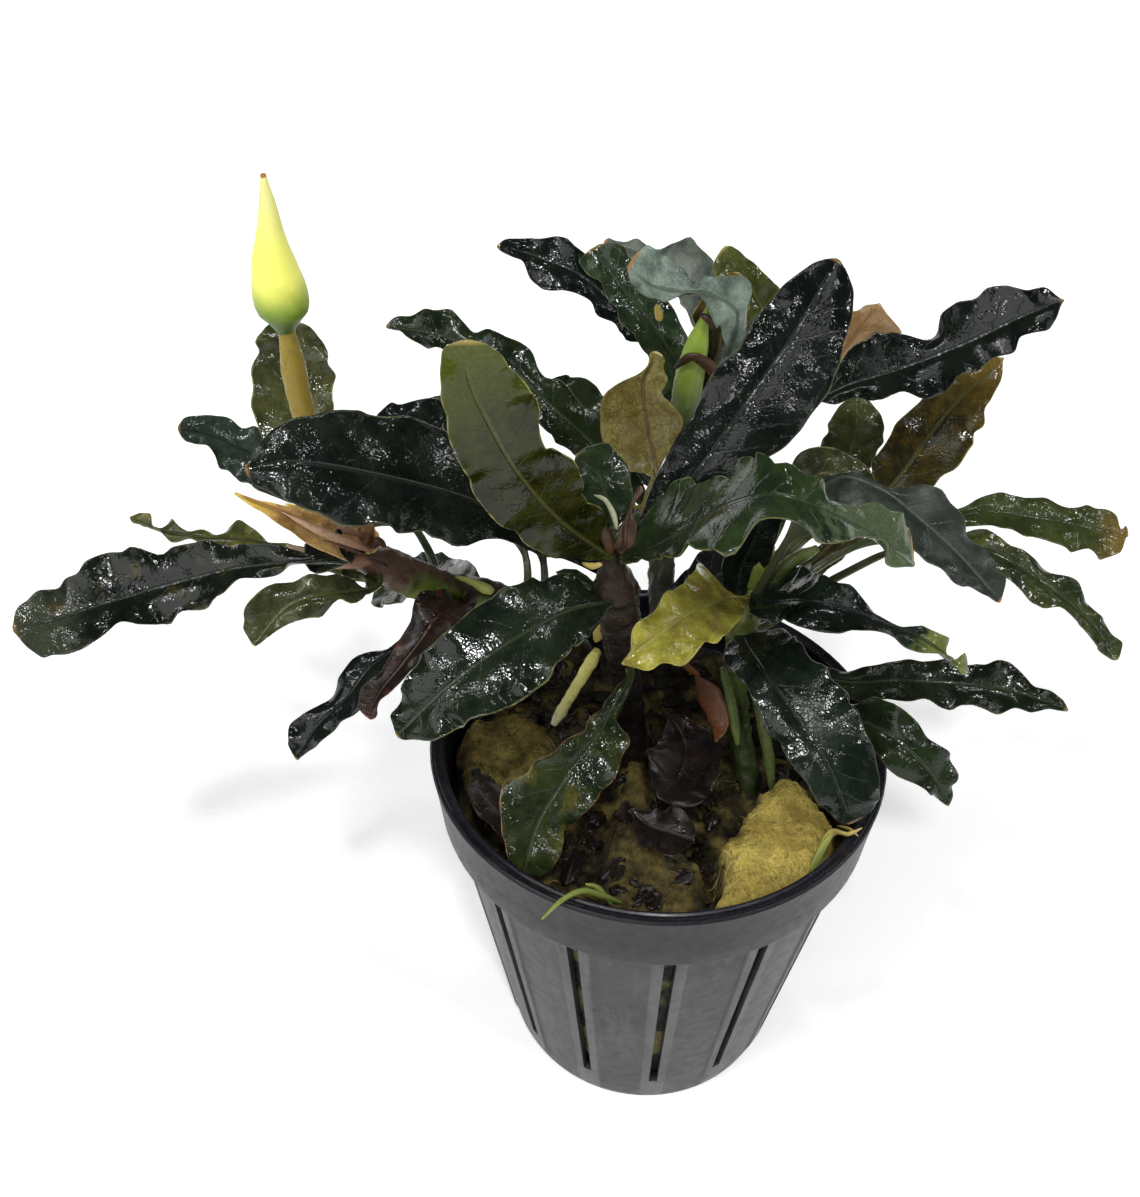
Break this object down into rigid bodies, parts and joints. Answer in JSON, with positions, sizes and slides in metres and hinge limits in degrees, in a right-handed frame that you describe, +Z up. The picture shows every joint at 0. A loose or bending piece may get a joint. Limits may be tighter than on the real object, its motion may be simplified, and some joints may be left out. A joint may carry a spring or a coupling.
{
  "type": "potted aquarium plant",
  "caption": "Small epiphytic aquarium plant with wavy dark leaves, a closed flower and a bud, in a slotted net pot packed with rockwool.",
  "frame": {"origin": "centre of the pot's base, on the surface it stands on", "axes": "+Z up, +X to the right and -Y towards the viewer in the pictured view"},
  "size_m": [0.1146, 0.0684, 0.11],
  "materials": {
    "pot": "semi-gloss grey-black",
    "rockwool": "damp fibrous, algae yellow-brown",
    "stem": "dark red-brown bark, slightly glossy",
    "green_stem": "green-brown, satin",
    "sheath": "papery pink-brown",
    "root": "cream, satin",
    "peduncle": "tan, satin",
    "spathe": "waxy pale yellow, green at the foot",
    "bud": "waxy yellow-green",
    "leaf_black": "wet gloss, pebbled, black-green",
    "leaf_green": "wet gloss, pebbled, deep green",
    "leaf_olive": "wet gloss, olive-brown",
    "leaf_grey": "wet gloss, grey-green",
    "leaf_tan": "thin ageing leaf, tan",
    "leaf_orange": "thin ageing leaf, orange-tan",
    "leaf_yellow": "wet gloss, yellow-green",
    "dead_leaf": "decayed red-black, wet"
  },
  "bodies": {
    "root": {"aerial_root": "root", "bud_spathe": "bud", "dead_leaf_center": "dead_leaf", "dead_leaf_front": "dead_leaf", "dead_leaf_rim": "dead_leaf", "leaf_back_dark_low": "leaf_black", "leaf_back_grey": "leaf_grey", "leaf_back_left_long": "leaf_green", "leaf_back_left_short": "leaf_green", "leaf_back_left_tip": "leaf_green", "leaf_back_low_left": "leaf_green", "leaf_back_olive": "leaf_olive", "leaf_behind_black": "leaf_black", "leaf_big_lower_left": "leaf_green", "leaf_black_big": "leaf_black", "leaf_black_diag": "leaf_black", "leaf_curled_right": "leaf_grey", "leaf_curled_top": "leaf_olive", "leaf_dark_front_right": "leaf_black", "leaf_dark_left_low": "leaf_black", "leaf_dead_left": "dead_leaf", "leaf_far_left": "leaf_black", "leaf_grey_right": "leaf_grey", "leaf_left_hooked": "leaf_black", "leaf_left_upright": "leaf_olive", "leaf_mid_right_green": "leaf_green", "leaf_narrow_inner": "leaf_black", "leaf_olive_big": "leaf_olive", "leaf_olive_brown_right": "leaf_olive", "leaf_olive_left_low": "leaf_olive", "leaf_orange_back": "leaf_orange", "leaf_pot_front": "leaf_green", "leaf_right_droop": "leaf_green", "leaf_right_green_ragged": "leaf_green", "leaf_right_long_black": "leaf_black", "leaf_right_low_long": "leaf_green", "leaf_right_low_short": "leaf_green", "leaf_right_mid": "leaf_black", "leaf_right_upright_small": "leaf_olive", "leaf_tan_center": "leaf_tan", "leaf_teal_center": "leaf_green", "leaf_thin_left": "leaf_green", "leaf_top_folded": "leaf_grey", "leaf_top_left_long": "leaf_black", "leaf_top_olive": "leaf_olive", "leaf_yellow_small": "leaf_yellow", "peduncle": "peduncle", "pot": "pot", "rockwool_back": "rockwool", "rockwool_front": "rockwool", "rockwool_left": "rockwool", "rockwool_right": "rockwool", "sheath_crown": "sheath", "sheath_left_long": "sheath", "sheath_left_short": "sheath", "spathe": "spathe", "stem_back": "green_stem", "stem_left": "green_stem", "stem_main": "stem", "stem_right": "green_stem"}
  },
  "joints": []
}
